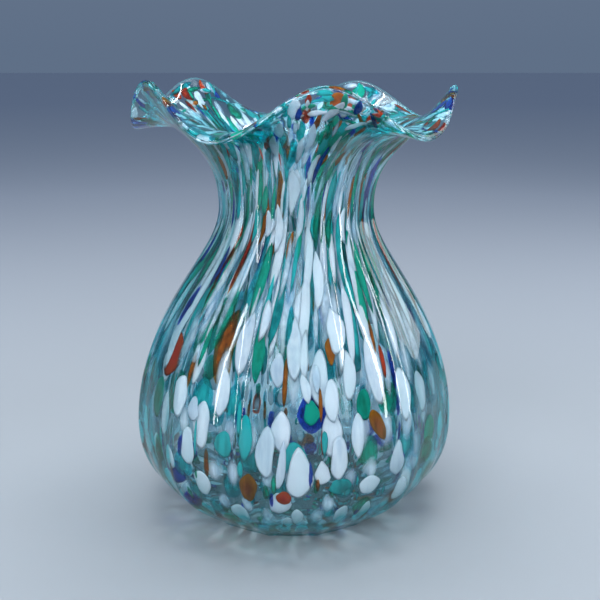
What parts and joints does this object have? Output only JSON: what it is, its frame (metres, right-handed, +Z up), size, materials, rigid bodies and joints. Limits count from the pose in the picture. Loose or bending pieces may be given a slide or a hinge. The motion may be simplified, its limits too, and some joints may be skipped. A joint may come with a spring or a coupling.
{
  "type": "hand blown art glass vase",
  "caption": "Clear ribbed glass vase with a round belly, narrow neck and ruffled lip, with chips of white and coloured glass melted into its wall, for cut flowers.",
  "frame": {"origin": "centre of the ground flat face that the vase rests on", "axes": "+Z up along the vase's axis to the lip, -Y to the front, the side with a ruffle just right of the middle, +X to the viewer's right"},
  "size_m": [0.1624, 0.1625, 0.2227],
  "materials": {
    "clear_inner": "fire polished",
    "clear_outer": "fire polished",
    "white_glass": "opaque, under clear glass",
    "teal_glass": "transparent, under clear glass",
    "green_glass": "transparent, under clear glass",
    "blue_glass": "transparent, under clear glass",
    "amber_glass": "transparent, under clear glass",
    "red_glass": "transparent, under clear glass"
  },
  "bodies": {
    "root": {"inner_gather": "clear_inner", "outer_casing": "clear_outer", "white_frit": "white_glass", "teal_frit": "teal_glass", "green_frit": "green_glass", "blue_frit": "blue_glass", "amber_frit": "amber_glass", "red_frit": "red_glass"}
  },
  "joints": []
}
